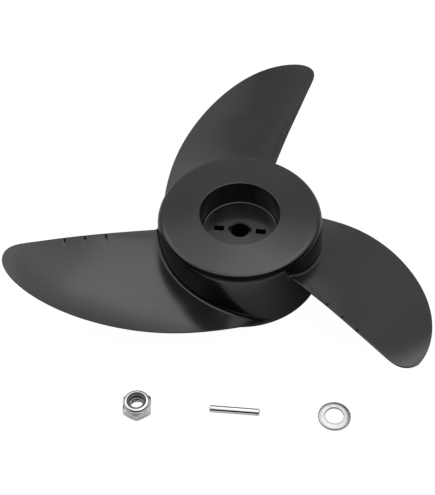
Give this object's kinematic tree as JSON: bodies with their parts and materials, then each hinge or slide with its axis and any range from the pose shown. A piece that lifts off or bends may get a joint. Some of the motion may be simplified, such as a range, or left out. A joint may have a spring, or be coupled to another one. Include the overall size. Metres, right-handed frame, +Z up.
{
  "type": "three-blade moulded propeller of an electric outboard, with its fixings",
  "caption": "Black moulded propeller with swept blades on a wide round hub recessed for its nut, with lock nut, drive pin and washer laid out beside it.",
  "frame": {"origin": "on the floor, under the middle of the set's bounding box; the propeller's shaft axis stands at x 14.6 mm, y -6.8 mm", "axes": "+Z up along the shaft axis, from the motor side to the nut side; +X along the row of fixings, -Y towards the fixings"},
  "size_m": [0.2258, 0.2374, 0.0428],
  "materials": {
    "black_nylon": "satin moulded",
    "stainless_steel": "bright turned",
    "nylon_ring_grey": "satin"
  },
  "bodies": {
    "root": {"propeller": "black_nylon", "lock_nut": "stainless_steel", "nut_nylon_ring": "nylon_ring_grey", "drive_pin": "stainless_steel", "flat_washer": "stainless_steel"}
  },
  "joints": []
}
